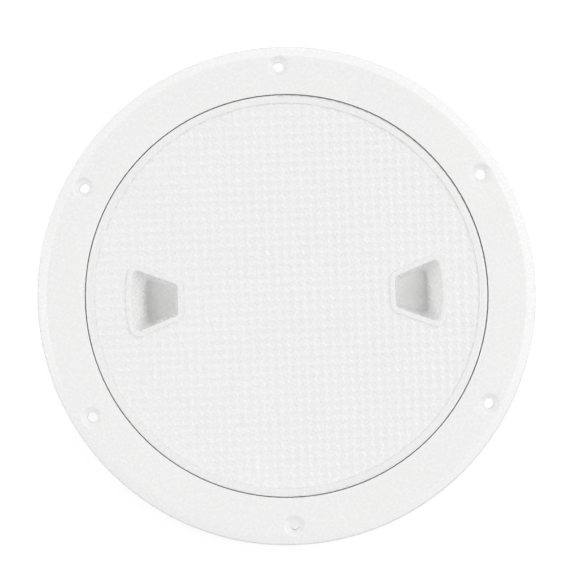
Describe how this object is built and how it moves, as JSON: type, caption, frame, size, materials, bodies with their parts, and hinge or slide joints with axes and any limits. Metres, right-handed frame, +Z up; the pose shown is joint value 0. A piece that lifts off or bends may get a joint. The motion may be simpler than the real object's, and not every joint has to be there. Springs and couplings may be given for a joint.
{
  "type": "deck inspection plate",
  "caption": "Round screw-out deck plate: a countersunk mounting ring with a threaded collar, and a flush non-slip lid with finger pockets and a seal ring.",
  "frame": {"origin": "centre of the screw circle in the deck plane, which is the underside of the flange", "axes": "+Z up out of the deck along the lid's axis; the finger pockets lie on the X axis"},
  "size_m": [0.203, 0.203, 0.0245],
  "materials": {
    "frame_plastic": "moulded, soft gloss",
    "lid_plastic": "moulded, non-slip tread with a smooth rim",
    "seal_rubber": "matte"
  },
  "bodies": {
    "frame": {"deck_frame": "frame_plastic"},
    "seal": {"o_ring": "seal_rubber"},
    "lid": {"screw_lid": "lid_plastic"}
  },
  "joints": [
    {"name": "lid_lift", "type": "slide", "parent": "frame", "child": "seal", "axis": [0, 0, 1], "range_m": [0, 0.0075]},
    {"name": "lid_turn", "type": "hinge", "parent": "seal", "child": "lid", "pos_m": [0, 0, 0], "axis": [0, 0, 1], "range_deg": [0, 540]}
  ],
  "couplings": [
    {"joint": "lid_lift", "follows": "lid_turn", "m_per_rad": 0.00079577}
  ]
}
